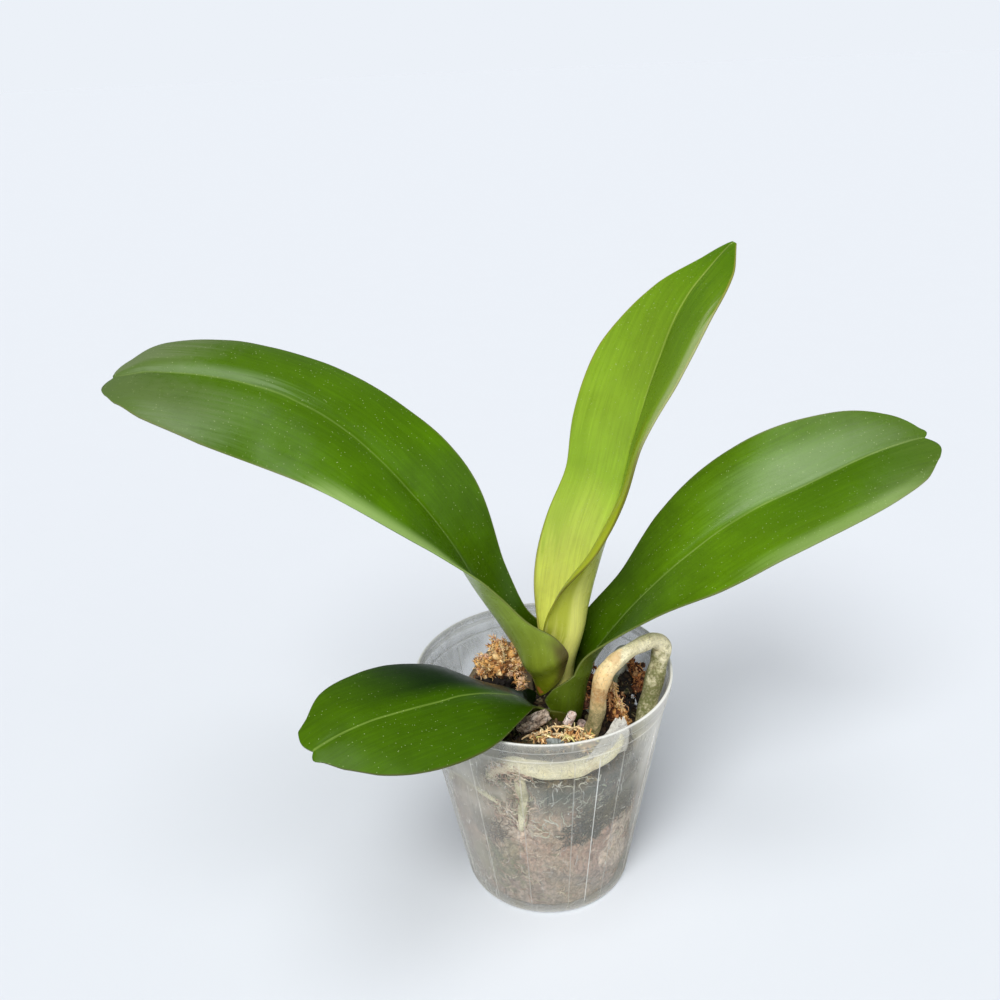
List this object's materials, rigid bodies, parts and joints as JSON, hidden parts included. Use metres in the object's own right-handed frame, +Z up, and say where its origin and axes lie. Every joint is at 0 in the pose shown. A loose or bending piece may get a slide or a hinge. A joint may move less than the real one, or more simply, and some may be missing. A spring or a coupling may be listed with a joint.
{
  "type": "potted moth orchid without a flower",
  "caption": "Young moth orchid with broad arching strap leaves on a short sheathed stem, rooted in moss and bark in a clear ribbed nursery pot, with an aerial root over the rim.",
  "frame": {"origin": "centre of the pot's flat underside", "axes": "+Z up; +X towards the right leaf, along the longest spread of the leaves; -Y towards the viewer of the picture"},
  "size_m": [0.3546, 0.1489, 0.3039],
  "materials": {
    "clear_pot": "clear, slightly milky and scuffed",
    "moss_and_bark": "matt, fibrous and damp",
    "stem": "satin",
    "young_leaf": "satin, waxy",
    "grown_leaf": "glossy, waxy",
    "old_leaf": "satin, waxy",
    "aerial_root": "matt, silvery",
    "pot_root": "matt, pale",
    "bark": "rough, weathered",
    "dry_moss": "dry, fibrous"
  },
  "bodies": {
    "root": {"pot": "clear_pot", "growing_medium": "moss_and_bark", "stem": "stem", "leaf_upright": "young_leaf", "leaf_long_left": "grown_leaf", "leaf_right": "grown_leaf", "leaf_low_left": "old_leaf", "root_arch": "aerial_root", "root_back": "aerial_root", "root_front_wall": "pot_root", "root_wall_vertical": "pot_root", "root_wall_left": "pot_root", "root_wall_right": "pot_root", "root_wall_back": "pot_root", "bark_chip_1": "bark", "bark_chip_2": "bark", "bark_chip_3": "bark", "bark_chip_4": "bark", "bark_chip_5": "bark", "bark_chip_6": "bark", "bark_chip_7": "bark", "moss_tuft_left": "dry_moss", "moss_tuft_front": "dry_moss", "moss_tuft_right": "dry_moss", "moss_tuft_far_right": "dry_moss"}
  },
  "joints": []
}
